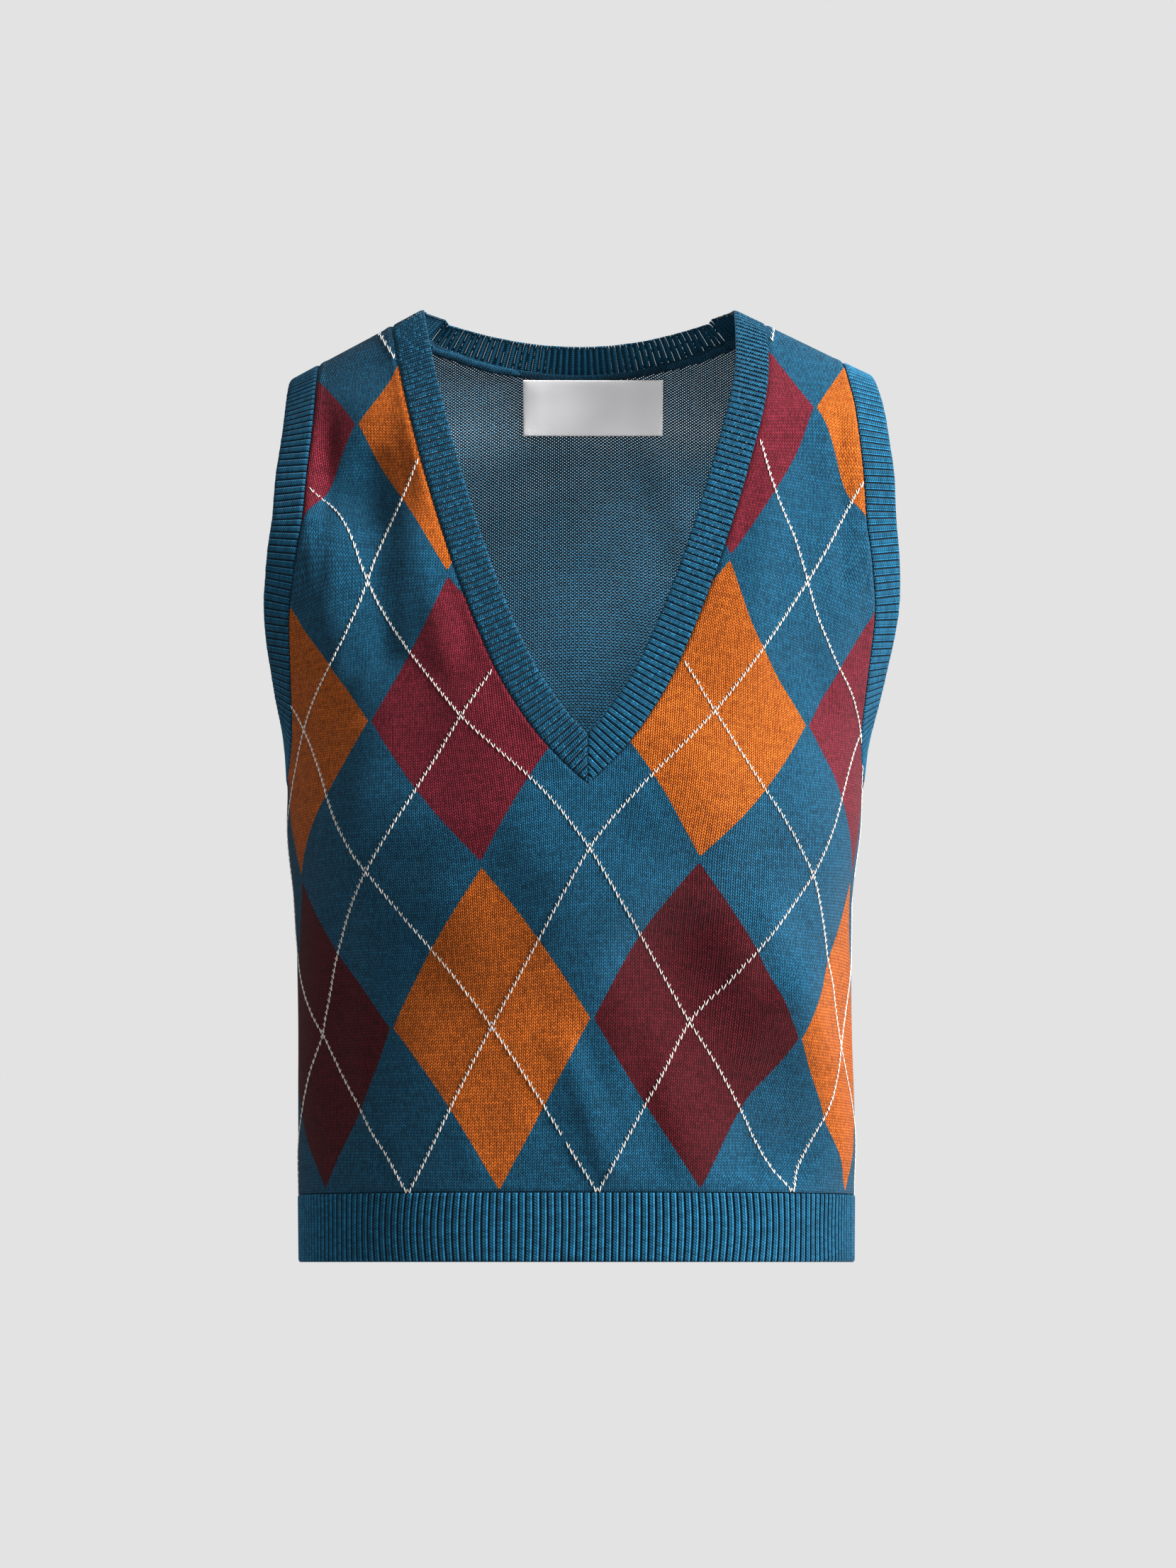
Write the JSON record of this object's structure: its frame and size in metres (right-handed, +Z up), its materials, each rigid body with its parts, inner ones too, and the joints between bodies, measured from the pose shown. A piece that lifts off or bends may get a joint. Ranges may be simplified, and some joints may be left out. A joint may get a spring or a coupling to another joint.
{
  "type": "knitted sweater vest",
  "caption": "Sleeveless knitted vest with a deep V neck, ribbed neck, armhole and hem bands, hung as worn, open at neck, arms and hem; covers the torso.",
  "frame": {"origin": "midway between the two highest points of the shoulders, where the vest hangs on its wearer", "axes": "+X to the wearer's left, -Y the way the front faces, +Z up"},
  "size_m": [0.34, 0.2169, 0.5204],
  "materials": {
    "front_panel": "fine stockinette knit, matte; teal ground with burgundy and orange diamonds and white lines",
    "back_panel": "fine stockinette knit, matte, plain teal",
    "hem_rib_front": "ribbed knit, matte, teal",
    "hem_rib_back": "ribbed knit, matte, teal",
    "neckband": "ribbed knit, matte, teal",
    "armband_left": "ribbed knit, matte, teal",
    "armband_right": "ribbed knit, matte, teal",
    "label": "smooth woven satin, off-white"
  },
  "bodies": {
    "root": {"front_panel": "front_panel", "back_panel": "back_panel", "hem_rib_front": "hem_rib_front", "hem_rib_back": "hem_rib_back", "neckband": "neckband", "armband_left": "armband_left", "armband_right": "armband_right", "label": "label"}
  },
  "joints": []
}
